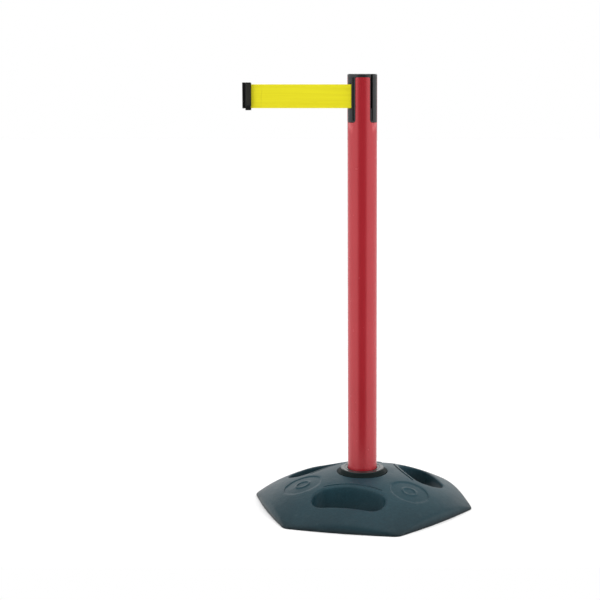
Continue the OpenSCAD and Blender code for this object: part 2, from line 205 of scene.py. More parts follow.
def recycled_rubber():
    """Blue-green crumb rubber with painted shade near the floor and in its moulded lines, a little
    dusty.
    """
    s = Shader("recycled_rubber", (0.014, 0.040, 0.050), 0.42, Specular_IOR_Level=0.18)
    cloudy = s.noise(9.0, 4.0, 0.6)
    base = s.ramp(cloudy, (0.30, (0.011, 0.036, 0.048)), (0.72, (0.017, 0.050, 0.065)))
    # painted shade: the colour darkens towards the floor, standing in for the contact shadow
    painted_floor_shade = s.ramp(s.height(0.0, PAINTED_SHADE_TOP), (0.0, 0.14), (0.07, 0.34), (0.20, 0.66),
                   (0.55, 0.86), (0.92, 1.04))
    base = s.mix("MULTIPLY", 1.0, base, painted_floor_shade)
    # painted shade: the colour darkens in the grooves and dishes, by their depth
    painted_relief_shade = s.node("ShaderNodeAttribute", attribute_name="painted_relief_shade").outputs["Fac"]
    base = s.mix("MULTIPLY", 1.0, base, s.ramp(painted_relief_shade, (0.60, 1.0), (0.95, 0.30)))
    crumb = s.cells(420.0)
    speck = s.ramp(crumb.outputs["Color"], (0.05, 0.80), (0.50, 1.0), (0.97, 1.22))
    base = s.mix("MULTIPLY", 0.55, base, speck)
    dust = s.ramp(s.noise(60.0, 5.0, 0.7), (0.56, 0.0), (0.80, 0.30))
    s.colour(s.mix("MIX", dust, base, (0.040, 0.066, 0.074)))
    s.roughness(s.range(s.noise(35.0, 4.0), 0.32, 0.50))
    s.bump(s.noise(26.0, 3.0), 1.8 * MM, 0.50)
    s.bump(crumb.outputs["Distance"], 0.40 * MM, 0.40)
    s.bump(s.noise(1500.0, 2.0), 0.10 * MM, 0.35)
    return s.material


def red_powder_coat():
    """Glossy red coat with a slight orange-peel ripple."""
    s = Shader("red_powder_coat", (0.41, 0.0165, 0.026), 0.26, metallic=0.2,
               Specular_IOR_Level=0.65)
    tone = s.noise(6.0, 3.0)
    s.colour(s.ramp(tone, (0.30, (0.395, 0.0150, 0.0235)), (0.70, (0.425, 0.0180, 0.0285))))
    s.roughness(s.range(s.noise(90.0, 4.0), 0.21, 0.30))
    s.bump(s.noise(700.0, 2.0), 0.06 * MM, 0.35)
    s.bump(s.noise(150.0, 2.0), 0.08 * MM, 0.18)
    return s.material


def black_moulding(name, colour, roughness, specular=0.5):
    """Moulded plastic with a fine spark-eroded grain and slight handling marks."""
    s = Shader(name, colour, roughness, Specular_IOR_Level=specular)
    light = tuple(1.35 * c + 0.002 for c in colour)
    s.colour(s.ramp(s.noise(MARKS_SCALE, 6.0, 0.7), (0.35, colour), (0.75, light)))
    s.roughness(s.range(s.noise(120.0, 4.0), roughness - 0.05, roughness + 0.09))
    s.bump(s.noise(MOULD_GRAIN, 2.0), 0.05 * MM, 0.4)
    return s.material


def collar_moulding():
    """Black plastic, matt on the wall and rubbed to a shine on its top ring."""
    dark, light = (0.003, 0.008, 0.008), (0.006, 0.013, 0.013)
    s = Shader("collar_moulding", (0.004, 0.010, 0.010), 0.5)
    shine = s.height(COLLAR_HI.z - 1.5 * MM, COLLAR_HI.z - 0.4 * MM)
    s.colour(s.ramp(s.noise(MARKS_SCALE, 6.0, 0.7), (0.35, dark), (0.75, light)))
    s.roughness(s.range(shine, 0.55, 0.24))
    s.link(s.range(shine, 0.08, 0.50), s.bsdf.inputs["Specular IOR Level"])
    s.bump(s.noise(MOULD_GRAIN, 2.0), 0.02 * MM, 0.4)
    return s.material


def pale_moulding(name, colour, roughness):
    """Unpainted pale plastic with a faint cloudiness."""
    s = Shader(name, colour, roughness)
    dark = tuple(0.86 * c for c in colour)
    s.colour(s.ramp(s.noise(70.0, 5.0), (0.30, dark), (0.70, colour)))
    s.roughness(s.range(s.noise(150.0, 3.0), roughness - 0.06, roughness + 0.08))
    s.bump(s.noise(900.0, 2.0), 0.04 * MM, 0.3)
    return s.material


def worked_metal(name, colour, roughness, grain_scale):
    """Metal with fine lines from rolling or turning; grain_scale stretches them."""
    s = Shader(name, colour, roughness, metallic=1.0)
    grain = s.noise(1.0, 4.0, 0.6, place=s.stretched(grain_scale))
    dark = tuple(0.72 * c for c in colour)
    s.colour(s.ramp(grain, (0.25, dark), (0.75, colour)))
    s.roughness(s.range(grain, roughness - 0.07, roughness + 0.12))
    s.bump(grain, 0.03 * MM, 0.5)
    return s.material


def brake_fibre():
    """Pressed friction lining with paler flecks."""
    s = Shader("brake_fibre", (0.20, 0.10, 0.06), 0.75)
    fleck = s.cells(900.0)
    s.colour(s.ramp(fleck.outputs["Color"], (0.1, (0.12, 0.055, 0.03)), (0.9, (0.30, 0.17, 0.10))))
    s.bump(fleck.outputs["Distance"], 0.1 * MM, 0.5)
    return s.material


WARP_PITCH = 1.05 * MM   # between the lengthwise ribs of the webbing
WEFT_PITCH = 0.62 * MM   # between the crossing yarns


def yellow_webbing(name, shade=1.0):
    """Tightly woven polyester: ribs along X, finer yarns across, a satin bloom."""
    s = Shader(name, (0.86, 0.76, 0.012), 0.62, Sheen_Weight=0.08, Sheen_Roughness=0.45,
               Specular_IOR_Level=0.22)
    bands = 2 * math.pi / 20  # a wave texture has 20 bands for each 2 pi of its length
    ribs = s.wave(bands / WARP_PITCH, "Z")
    picks = s.wave(bands / WEFT_PITCH, "X")
    over = s.math("MULTIPLY", ribs, picks)
    weave = s.math("ADD", s.math("MULTIPLY", ribs, 0.65), s.math("MULTIPLY", over, 0.35))
    stripe = s.noise(1.0, 3.0, 0.6, place=s.stretched((4.0, 4.0, 190.0)))
    tone = s.ramp(stripe, (0.30, (0.755 * shade, 0.670 * shade, 0.008)),
                  (0.70, (0.835 * shade, 0.765 * shade, 0.013)))
    gaps = s.ramp(weave, (0.0, 0.86), (0.55, 1.0))
    s.colour(s.mix("MULTIPLY", 0.8, tone, gaps))
    s.roughness(s.range(weave, 0.72, 0.55))
    s.bump(weave, 0.12 * MM, 0.55)
    s.bump(s.noise(2600.0, 2.0), 0.04 * MM, 0.4)
    return s.material


def floor_paint():
    s = Shader("floor_paint", (0.93, 0.93, 0.93), 0.85, Specular_IOR_Level=0.1)
    s.colour(s.ramp(s.noise(1.2, 2.0), (0.0, 0.92), (1.0, 0.94)))
    return s.material


# ---------------------------------------------------------------- mesh helpers

TURNED = 144   # points round a turned shape


def new_piece(name, bm, material, body=None, replaces=()):
    """Makes an object of the mesh, parents it to its body and hides the CAD nodes it replaces."""
    mesh = bpy.data.meshes.new(name)
    bm.to_mesh(mesh)
    bm.free()
    mesh.materials.append(material)
    piece = bpy.data.objects.new(name, mesh)
    bpy.context.scene.collection.objects.link(piece)
    if body:
        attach(piece, body)
    if replaces:
        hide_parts(*replaces)
    return piece


def smooth(piece, angle):
    """Smooth shading, with edges sharper than angle (in degrees) left crisp."""
    piece.data.shade_smooth()
    piece.data.set_sharp_from_angle(angle=math.radians(angle))


def weld(bm, distance=1e-6):
    bmesh.ops.remove_doubles(bm, verts=bm.verts, dist=distance)
    bmesh.ops.recalc_face_normals(bm, faces=bm.faces)


def strip_between(bm, lower, upper, closed=True):
    """Quads between two rows of vertices with the same count."""
    count = len(lower)
    for i in range(count if closed else count - 1):
        j = (i + 1) % count
        bm.faces.new((lower[i], lower[j], upper[j], upper[i]))


def ring_of(bm, radius, z):
    """A ring of vertices about the Z axis."""
    turns = [2 * math.pi * i / TURNED for i in range(TURNED)]
    return [bm.verts.new((radius * math.cos(a), radius * math.sin(a), z)) for a in turns]


def lathe(profile):
    """Closed solid of revolution about Z; profile is a closed loop of (radius, z)."""
    bm = bmesh.new()
    rows = [ring_of(bm, radius, z) for radius, z in profile]
    for lower, upper in zip(rows, rows[1:] + rows[:1]):
        strip_between(bm, lower, upper)
    weld(bm)
    return bm


def rounded(profile, radii, steps=5):
    """The closed profile with each corner replaced by an arc-like curve of its radius."""
    out = []
    count = len(profile)
    for i, (corner, radius) in enumerate(zip(profile, radii)):
        here = Vector(corner)
        if radius <= 0:
            out.append(tuple(here))
            continue
        before = Vector(profile[i - 1]) - here
        after = Vector(profile[(i + 1) % count]) - here
        turn = before.angle(after)
        reach = min(radius / math.tan(turn / 2), 0.49 * before.length, 0.49 * after.length)
        a = here + before.normalized() * reach
        b = here + after.normalized() * reach
        for k in range(steps + 1):
            t = k / steps
            out.append(tuple(a * (1 - t) ** 2 + here * (2 * t * (1 - t)) + b * t ** 2))
    return out


def soften(obj, width):
    """Rounds an object's edges by modifiers, leaving its mesh as it is."""
    flat = obj.modifiers.new("flatten", "DECIMATE")
    flat.decimate_type = "DISSOLVE"
    flat.angle_limit = math.radians(0.3)
    bevel = obj.modifiers.new("round", "BEVEL")
    bevel.width = width
    bevel.segments = 2
    bevel.limit_method = "ANGLE"
    bevel.angle_limit = math.radians(38)
    bevel.harden_normals = True
    bevel.use_clamp_overlap = True


# ---------------------------------------------------------------- base

BASE_TURN = math.radians(-12.3)
CORNER_AT = 245 * MM        # hexagon radius before its corners are rounded
CORNER_R = 20 * MM
SIDE_BOW = 5 * MM           # how far the middle of a side stands out
DOME_TOP = 74 * MM
DOME_R = 455 * MM
RIM_R = 8 * MM              # rounding where the dome turns down into the side
FOOT_R = 2 * MM             # rounding where the side meets the floor
HAND_IN, HAND_OUT = 95.5 * MM, 168.5 * MM   # a hand opening's inner and outer edge
HAND_HALF = 78 * MM
HAND_CORNER = 30 * MM
HAND_BOW = 210 * MM         # radius of the inner edge
HAND_RIM = 5 * MM           # rounding of an opening's upper edge
SEAT_R, SEAT_Z = 55.5 * MM, 67.5 * MM       # recess that the collar sits in
SEAT_RIM = 1.5 * MM
SOCKET_BORE, SOCKET_Z = 36.25 * MM, 22 * MM
BOLT_HOLE, WELL_R, WELL_Z = 6 * MM, 40 * MM, 14 * MM
UNDER_IN, UNDER_OUT, UNDER_Z = 60 * MM, 86 * MM, 2 * MM   # shallow ring in the underside
GROOVE_R, GROOVE_HALF, GROOVE_DEEP = 219.5 * MM, 2.2 * MM, 3.0 * MM
GROOVE_REACH = 66 * MM      # from a groove's middle to its ends
GROOVE_FADE = 6 * MM        # length over which an end runs out
DISH_AT = 136 * MM          # from the axis to a dish's centre
DISH_R, DISH_DEEP = 41 * MM, 1.6 * MM
DISH_WALL = 1.5 * MM
RING_IN, RING_OUT = 12 * MM, 16 * MM        # the raised ring in a dish

# how finely the base is drawn
POINT_STEP = 2.6 * MM       # along an outline
CORNER_STEPS = 12
HAND_SIDE_STEPS = 36
WALL_STEPS, FOOT_STEPS = 5, 4
GROOVE_STEPS = 96
GROOVE_ROWS = [off * MM for off in (-2.9, -2.3, -1.8, -1.3, -0.5, 0.5, 1.3, 1.8, 2.3, 2.9)]
DISH_STEP = 1.6 * MM
DISH_ROWS = [edge + off * MM for edge in (RING_IN, RING_OUT) for off in (-0.8, -0.3, 0.3, 0.8)]
DISH_ROWS += [DISH_R + off * MM for off in (-1.7, -1.2, -0.7, -0.2, 0.3)]
LATTICE = 3.4 * MM          # pitch of the points between all these, in staggered rows
LATTICE_ROW = 0.866 * LATTICE               # rows stand as in a net of even triangles
LATTICE_REACH = 250 * MM
CLEAR, GROOVE_CLEAR = 1.6 * MM, 1.2 * MM    # least distance of a point from an outline
NEAR = 12 * MM              # squares in which the nearest outline point is looked for
CROWD = 2 * MM              # squares round a relief point where the lattice leaves off


def side_turn(k):
    """Direction of the middle of the hexagon's side k."""
    return BASE_TURN + math.radians(30 + 60 * k)


HANDS = [side_turn(k) for k in (0, 2, 4)]
DISHES = [side_turn(k) for k in (1, 3, 5)]


def polar(radius, angle):
    return Vector((radius * math.cos(angle), radius * math.sin(angle)))


def turned(x, y, angle):
    """(x, y) turned about the axis."""
    return x * math.cos(angle) - y * math.sin(angle), x * math.sin(angle) + y * math.cos(angle)


def dome(x, y):
    return DOME_TOP - DOME_R + math.sqrt(DOME_R ** 2 - x * x - y * y)


def with_normals(points):
    """Pairs each point of a counter-clockwise loop with its inward normal."""
    out = []
    for i, point in enumerate(points):
        along = (points[(i + 1) % len(points)] - points[i - 1]).normalized()
        out.append((point, Vector((-along.y, along.x))))
    return out


def base_outline():
    """[(point, inward normal)] round the bowed hexagon."""
    out = []
    corner_at = CORNER_AT - CORNER_R / math.cos(math.radians(30))
    for k in range(6):
        middle, side = BASE_TURN + math.radians(60 * k), side_turn(k)
        centre = polar(corner_at, middle)
        following = polar(corner_at, BASE_TURN + math.radians(60 * (k + 1)))
        for i in range(CORNER_STEPS):
            angle = middle + math.radians(-30 + 60 * i / CORNER_STEPS)
            out.append(centre + polar(CORNER_R, angle))
        start = centre + polar(CORNER_R, side)
        finish = following + polar(CORNER_R, side)
        steps = round((finish - start).length / POINT_STEP)
        for i in range(steps):
            t = i / steps
            out.append(start.lerp(finish, t) + polar(SIDE_BOW * 4 * t * (1 - t), side))
    return with_normals(out)


def hand_outline(turn):
    """[(point, normal into the rubber)] round a hand opening."""
    loop = []

    def arc(cx, cy, radius, start, end):
        count = max(3, round(abs(end - start) * radius / POINT_STEP))
        for i in range(count):
            angle = start + (end - start) * i / count
            loop.append((cx + radius * math.cos(angle), cy + radius * math.sin(angle)))

    bow_x = HAND_IN + HAND_BOW
    outer_x = HAND_OUT - HAND_CORNER
    corner_y = HAND_HALF - HAND_CORNER
    # an inner corner's circle touches the bow from inside
    corner_x = bow_x - math.sqrt((HAND_BOW - HAND_CORNER) ** 2 - corner_y ** 2)
    lean = math.atan2(corner_y, bow_x - corner_x)
    arc(outer_x, -corner_y, HAND_CORNER, -math.pi / 2, 0)
    for i in range(1, HAND_SIDE_STEPS):
        loop.append((HAND_OUT, -corner_y + 2 * corner_y * i / HAND_SIDE_STEPS))
    arc(outer_x, corner_y, HAND_CORNER, 0, math.pi / 2)
    arc(corner_x, corner_y, HAND_CORNER, math.pi / 2, math.pi - lean)
    arc(bow_x, 0, HAND_BOW, math.pi - lean, math.pi + lean)
    arc(corner_x, -corner_y, HAND_CORNER, math.pi + lean, 1.5 * math.pi)
    return [(p, -n) for p, n in with_normals([Vector(turned(x, y, turn)) for x, y in loop])]


def circle_outline(radius):
    """[(point, outward normal)] round a circle on the axis."""
    turns = [2 * math.pi * i / TURNED for i in range(TURNED)]
    return [(polar(radius, a), polar(1, a)) for a in turns]


def smoothstep(t):
    t = min(max(t, 0.0), 1.0)
    return t * t * (3 - 2 * t)


def relief(x, y):
    """How far the grooves and the dishes cut below the dome at a point."""
    cut = 0.0
    for turn in HANDS:
        u, v = turned(x, y, -turn)
        off = abs(math.hypot(u - HAND_IN - HAND_BOW, v) - GROOVE_R)
        if u > 0 and off < GROOVE_HALF:
            ends = smoothstep((GROOVE_REACH - abs(v)) / GROOVE_FADE)
            cut = max(cut, GROOVE_DEEP * ends * (1 - (off / GROOVE_HALF) ** 4))
    for turn in DISHES:
        away = math.hypot(x - DISH_AT * math.cos(turn), y - DISH_AT * math.sin(turn))
        if away < DISH_R + MM:
            dish = DISH_DEEP * smoothstep((DISH_R - away) / DISH_WALL)
            past_in = smoothstep((away - RING_IN) / MM + 0.5)
            before_out = smoothstep((RING_OUT - away) / MM + 0.5)
            cut = max(cut, dish * (1 - past_in * before_out))
    return cut


def relief_points():
    """(point, clearance) along each groove's rows and round the edges in each dish."""
    reach = math.asin((GROOVE_REACH + 3 * MM) / GROOVE_R)
    for hand, dish in zip(HANDS, DISHES):
        centre = polar(HAND_IN + HAND_BOW, hand)
        for off in GROOVE_ROWS:
            for i in range(GROOVE_STEPS + 1):
                angle = hand + math.pi + reach * (2 * i / GROOVE_STEPS - 1)
                yield centre + polar(GROOVE_R + off, angle), GROOVE_CLEAR
        centre = polar(DISH_AT, dish)
        for radius in DISH_ROWS:
            count = round(2 * math.pi * radius / DISH_STEP)
            for i in range(count):
                yield centre + polar(radius, 2 * math.pi * i / count), CLEAR


def in_rubber(x, y):
    """Whether a point is clear of the seat, the sides and the hand openings."""
    if math.hypot(x, y) < SEAT_R + 2 * MM:
        return False
    limit = CORNER_AT * math.cos(math.radians(30)) + SIDE_BOW
    for side in HANDS + DISHES:
        if x * math.cos(side) + y * math.sin(side) > limit:
            return False
    for turn in HANDS:
        u, v = turned(x, y, -turn)
        beyond_bow = math.hypot(u - HAND_IN - HAND_BOW, v) < HAND_BOW
        if HAND_IN < u < HAND_OUT and abs(v) < HAND_HALF and beyond_bow:
            return False
    return True


def around(column, row):
    """A square and the eight next to it."""
    return [(column + i, row + j) for i in (-1, 0, 1) for j in (-1, 0, 1)]


def base_points(loops):
    """Inner points of the top surface: those of the relief, then a lattice between them."""
    squares, points = {}, []
    for point, normal in (pair for loop in loops for pair in loop):
        key = (int(point.x // NEAR), int(point.y // NEAR))
        squares.setdefault(key, []).append((point, normal))

    def add(x, y, clearance):
        """Keeps a point that is in the rubber and far enough from the nearest outline."""
        if not in_rubber(x, y):
            return
        here = Vector((x, y))
        gaps = [(here - point, normal) for key in around(int(x // NEAR), int(y // NEAR))
                for point, normal in squares.get(key, ())]
        if gaps:
            gap, normal = min(gaps, key=lambda pair: pair[0].length)
            if gap.length <= clearance or gap.dot(normal) <= 0:
                return
        points.append(here)

    for point, clearance in relief_points():
        add(point.x, point.y, clearance)
    crowd = {(round(p.x / CROWD), round(p.y / CROWD)) for p in points}
    rows, columns = int(LATTICE_REACH / LATTICE_ROW), int(LATTICE_REACH / LATTICE)
    for j in range(-rows, rows + 1):
        for i in range(-columns, columns + 1):
            x, y = (i + 0.5 * (j % 2)) * LATTICE, j * LATTICE_ROW
            if crowd.isdisjoint(around(round(x / CROWD), round(y / CROWD))):
                add(x, y, CLEAR)
    return points


def rim_rows(loop, radius_at, steps=5):
    """Rows of (x, y, drop below the dome) from the edge inwards, rounding the edge over."""
    rows = []
    for i in range(steps + 1):
        phi = math.pi / 2 * i / steps
        row = []
        for point, normal in loop:
            radius = radius_at(point)
            p = point + normal * (radius * (1 - math.cos(phi)))
            row.append((p.x, p.y, radius * (1 - math.sin(phi))))
        rows.append(row)
    return rows


def in_polygon(point, polygon):
    inside = False
    x, y = point
    previous = polygon[-1]
    for corner in polygon:
        if (corner.y > y) != (previous.y > y):
            cross = corner.x + (y - corner.y) / (previous.y - corner.y) * (previous.x - corner.x)
            if x < cross:
                inside = not inside
        previous = corner
    return inside


def ring_links(start, count):
    """Links that close a ring of points numbered from start."""
    return [(start + i, start + (i + 1) % count) for i in range(count)]


def fill(bm, flat, links, height, outline, holes):
    """Triangles over flat points inside the outline; height(point, its sources) gives z."""
    points, _, faces, origins, _, _ = delaunay_2d_cdt(flat, links, [], 0, 1e-7)
    made = [bm.verts.new((p.x, p.y, height(p, sources))) for p, sources in zip(points, origins)]
    for face in faces:
        centre = sum((points[i] for i in face), Vector((0, 0))) / len(face)
        if in_polygon(centre, outline) and not any(in_polygon(centre, hole) for hole in holes):
            bm.faces.new([made[i] for i in face])


def outer_rim(point):
    """Rounding of the outer edge, less where the dome comes down near the floor."""
    return min(RIM_R, 0.62 * dome(point.x, point.y))


def base_top(bm, edges):
    """The domed top with its edges rounded over; edges are (outline, rounding at a point)."""
    flat, drops, links, inner = [], {}, [], []
    for loop, radius_at in edges:
        rows = rim_rows(loop, radius_at)
        links += ring_links(len(flat), len(loop))
        for x, y, drop in (place for row in rows for place in row):
            drops[len(flat)] = drop
            flat.append(Vector((x, y)))
        inner.append([(Vector((x, y)), normal) for (x, y, _), (_, normal) in zip(rows[-1], loop)])
    flat += base_points(inner)

    def height(point, sources):
        drop = max((drops.get(i, 0.0) for i in sources), default=0.0)
        cut = 0.0 if drop else relief(point.x, point.y)
        return dome(point.x, point.y) - cut - drop

    outlines = [[point for point, _ in loop] for loop, _ in edges]
    fill(bm, flat, links, height, outlines[0], outlines[1:])


def wall(bm, loop, radius_at):
    """Side wall from the rim down to its rounded foot on the floor; returns the last row."""
    rows = []
    for i in range(WALL_STEPS + 1):
        row = []
        for point, _ in loop:
            high = dome(point.x, point.y) - radius_at(point)
            z = FOOT_R + (high - FOOT_R) * (1 - i / WALL_STEPS)
            row.append(bm.verts.new((point.x, point.y, z)))
        rows.append(row)
    for i in range(1, FOOT_STEPS + 1):
        phi = math.pi / 2 * i / FOOT_STEPS
        drawn_in, z = FOOT_R * (1 - math.cos(phi)), FOOT_R * (1 - math.sin(phi))
        rows.append([bm.verts.new((*(point + normal * drawn_in), z)) for point, normal in loop])
    for upper, lower in zip(rows, rows[1:]):
        strip_between(bm, upper, lower)
    return rows[-1]


def base_middle(bm):
    """The turned middle, from the seat's rim down to the well below; returns the last row."""
    profile = [(SEAT_R, dome(SEAT_R, 0) - SEAT_RIM), (SEAT_R, SEAT_Z), (SOCKET_BORE, SEAT_Z),
               (SOCKET_BORE, SOCKET_Z), (BOLT_HOLE, SOCKET_Z), (BOLT_HOLE, WELL_Z),
               (WELL_R, WELL_Z), (WELL_R, FOOT_R), (WELL_R + 0.6 * MM, 0.5 * MM),
               (WELL_R + FOOT_R, 0.0)]
    rows = [ring_of(bm, radius, z) for radius, z in profile]
    for upper, lower in zip(rows, rows[1:]):
        strip_between(bm, upper, lower)
    return rows[-1]


def underside(bm, feet):
    """The bottom between the walls' last rows, with its shallow ring."""
    loops = [[Vector(vertex.co.xy) for vertex in row] for row in feet]
    flat, links, heights = [], [], {}
    for loop in loops:
        links += ring_links(len(flat), len(loop))
        flat += loop
    for radius, z in ((UNDER_IN, 0), (UNDER_IN + MM, UNDER_Z), (UNDER_OUT - MM, UNDER_Z),
                      (UNDER_OUT, 0)):
        for point, _ in circle_outline(radius):
            heights[len(flat)] = z
            flat.append(point)

    def height(point, sources):
        return max((heights.get(i, 0.0) for i in sources), default=0.0)

    fill(bm, flat, links, height, loops[0], loops[1:])


def mark_painted_relief_shade(mesh):
    """Stores how deep each point lies in the top's relief, which sets the painted shade in the
    rubber's colour.
    """
    painted_relief_shade = mesh.attributes.new("painted_relief_shade", "FLOAT", "POINT")
    for vertex, depth in zip(mesh.vertices, painted_relief_shade.data):
        x, y, z = vertex.co
        near_top = z > dome(x, y) - 1.2 * GROOVE_DEEP
        depth.value = relief(x, y) / GROOVE_DEEP if near_top else 0.0


def build_base(material):
    walls = [(base_outline(), outer_rim)]
    walls += [(hand_outline(turn), lambda point: HAND_RIM) for turn in HANDS]
    seat = (circle_outline(SEAT_R), lambda point: SEAT_RIM)
    bm = bmesh.new()
    base_top(bm, walls + [seat])
    feet = [wall(bm, loop, radius_at) for loop, radius_at in walls]
    underside(bm, feet + [base_middle(bm)])
    weld(bm, 2e-6)
    piece = new_piece("base_moulding", bm, material, ROOT, ["rubber_base"])
    smooth(piece, 42)
    mark_painted_relief_shade(piece.data)


# ---------------------------------------------------------------- post tube

TUBE_WALL = 1.5 * MM
WINDOWS = [math.radians(angle) for angle in (-143, -33, 37, 147)]
WINDOW_LOW = TUBE_HI.z - 95.2 * MM
WINDOW_HALF = 13.9 * MM       # a little wider than the moulding, which leaves a fine joint
WINDOW_CORNER = 6.3 * MM
PANEL_CORNER = 2.2 * MM       # rounding of the panels' upper corners
EDGE = 0.35 * MM              # rounding along every cut edge

# how finely the tube is drawn
BODY_ROWS = 30
PANEL_COLUMNS = (28, 8)       # across the wide and the narrow panels
SILL_COLUMNS = 12             # across a window's lower edge
CORNER_ROWS, PANEL_ROWS, TOP_ROWS = 8, 12, 6


def window_half(z):
    """Half the width of a window at a height."""
    up = min(max(z - WINDOW_LOW, 0), WINDOW_CORNER)
    over = max(0, z - TUBE_HI.z + PANEL_CORNER)
    return (WINDOW_HALF - WINDOW_CORNER
            + math.sqrt(WINDOW_CORNER ** 2 - (WINDOW_CORNER - up) ** 2)
            + PANEL_CORNER - math.sqrt(max(PANEL_CORNER ** 2 - over ** 2, 0)))


def tube_surface(bm, radius, eased):
    """One face of the tube: rings up to the windows, then the four panels between them.

    Its points are returned in order. With eased at 1 those on a cut edge lie EDGE further in.
    """
    made = []

    def vert(angle, z, drop=0.0):
        at = radius - eased * drop
        made.append(bm.verts.new((at * math.cos(angle), at * math.sin(angle), z)))
        return made[-1]

    def panel(k, z):
        """Angles and drops across the panel after window k, at a height."""
        reach = math.asin(window_half(z) / radius)
        start = WINDOWS[k] + reach
        finish = WINDOWS[(k + 1) % 4] + 2 * math.pi * (k == 3) - reach
        step = EDGE / radius
        count = PANEL_COLUMNS[k % 2]
        inner = [start + step + (finish - start - 2 * step) * i / count
                 for i in range(count + 1)]
        return [(start, EDGE)] + [(angle, 0.0) for angle in inner] + [(finish, EDGE)]

    def ring(z, cut):
        """Panel rows and a whole ring of the same points; cut eases those of the windows."""
        rows, whole = [], []
        for k in range(4):
            rows.append([vert(angle, z, drop * cut) for angle, drop in panel(k, z)])
            gap = 2 * math.asin(window_half(z) / radius)
            start = WINDOWS[(k + 1) % 4] - gap / 2
            whole += rows[-1] + [vert(start + gap * i / SILL_COLUMNS, z, EDGE * cut)
                                 for i in range(1, SILL_COLUMNS)]
        return rows, whole

    body_top = WINDOW_LOW - EDGE
    below = [ring(TUBE_LO.z + (body_top - TUBE_LO.z) * i / BODY_ROWS, 0)[1]
             for i in range(BODY_ROWS + 1)]
    rows, top_ring = ring(WINDOW_LOW, 1)
    for lower, upper in zip(below, below[1:] + [top_ring]):
        strip_between(bm, lower, upper)
    quarter = math.pi / 2
    levels = [WINDOW_LOW + WINDOW_CORNER * (1 - math.cos(quarter * i / CORNER_ROWS))
              for i in range(1, CORNER_ROWS + 1)]
    start, plain = levels[-1], TUBE_HI.z - PANEL_CORNER - levels[-1]
    levels += [start + plain * i / PANEL_ROWS for i in range(1, PANEL_ROWS + 1)]
    levels += [TUBE_HI.z - PANEL_CORNER * (1 - math.sin(quarter * i / TOP_ROWS))
               for i in range(1, TOP_ROWS)]
    for z in levels + [TUBE_HI.z]:
        for k in range(4):
            row = [vert(angle, z, drop) for angle, drop in panel(k, z)]
            strip_between(bm, rows[k], row, closed=False)
            rows[k] = row
    return made


def build_sleeve(material):
    """The post's tube, its four windows running out through the top."""
    bm = bmesh.new()
    outer = tube_surface(bm, TUBE_R, 1)
    rims = [tuple(edge.verts) for edge in bm.edges if edge.is_boundary]
    inner = tube_surface(bm, TUBE_R - TUBE_WALL, 0)
    across = dict(zip(outer, inner))
    for a, b in rims:
        bm.faces.new((a, b, across[b], across[a]))
    bmesh.ops.recalc_face_normals(bm, faces=bm.faces)
    smooth(new_piece("post_sleeve", bm, material, ROOT, ["post_tube"]), 50)


# ---------------------------------------------------------------- collar

def build_collar(material):
    """Turned socket: a flange in the base's seat, a flared wall and a grooved top ring."""
    top, low = COLLAR_HI.z, COLLAR_LO.z
    flange = COLLAR_HI.x
    bore = TUBE_R + 0.25 * MM
    body = bore + 3.7 * MM       # outside of the socket under the flange
    bolt_hole = 5.05 * MM
    floor = low + 4 * MM
    under = SEAT_Z + 0.1 * MM
    # radius, height and rounding of each corner
    profile = [
        (flange, under, 0.0), (flange, SEAT_Z + 3.4 * MM, 1.0 * MM),
        (flange - 2.4 * MM, SEAT_Z + 4.2 * MM, 0.8 * MM),
        # the flared wall
        (49.2 * MM, SEAT_Z + 4.0 * MM, 0.9 * MM), (46.9 * MM, top - 1.0 * MM, 1.2 * MM),
        (45.4 * MM, top, 0.8 * MM),
        # the fine groove in the top ring
        (39.5 * MM, top, 0.5 * MM), (38.9 * MM, top - 0.6 * MM, 0.3 * MM),
        (37.9 * MM, top - 0.6 * MM, 0.3 * MM), (37.3 * MM, top, 0.5 * MM),
        # the bore, the bolt's hole in its floor and the outside
        (bore + 1.6 * MM, top, 1.0 * MM), (bore, top - 1.6 * MM, 0.5 * MM),
        (bore, floor, 0.5 * MM), (bolt_hole, floor, 0.2 * MM),
        (bolt_hole, low, 0.2 * MM), (body, low, 0.5 * MM), (body, under, 0.2 * MM),
    ]
    loop = rounded([(r, z) for r, z, _ in profile], [rounding for _, _, rounding in profile])
    bm = lathe(loop)
    smooth(new_piece("socket_collar", bm, material, ROOT, ["post_socket"]), 30)


# ---------------------------------------------------------------- belt

BELT_W = STRIP_HI.z - STRIP_LO.z
BELT_T = 0.6 * MM
BELT_COLUMNS = 50            # across the webbing
BELT_IN = 6 * MM             # how far the webbing runs on into the tape end
BELT_START = -6 * MM         # its other end, inside the head
FOLD_GAP = 0.10 * MM         # between the webbing and its turn-back
TURN_BACK = 24 * MM          # length of the sewn turn-back at the tape end
FOLD_END = FOOT_HI.x + TURN_BACK
SELVEDGE_AT, SELVEDGE_HALF = 1.6 * MM, 1.2 * MM
STITCH_PITCH = 3.2 * MM
STITCH_R = 0.26 * MM
STITCH_DIP = 0.35 * MM       # how far a stitch's ends dive into the cloth


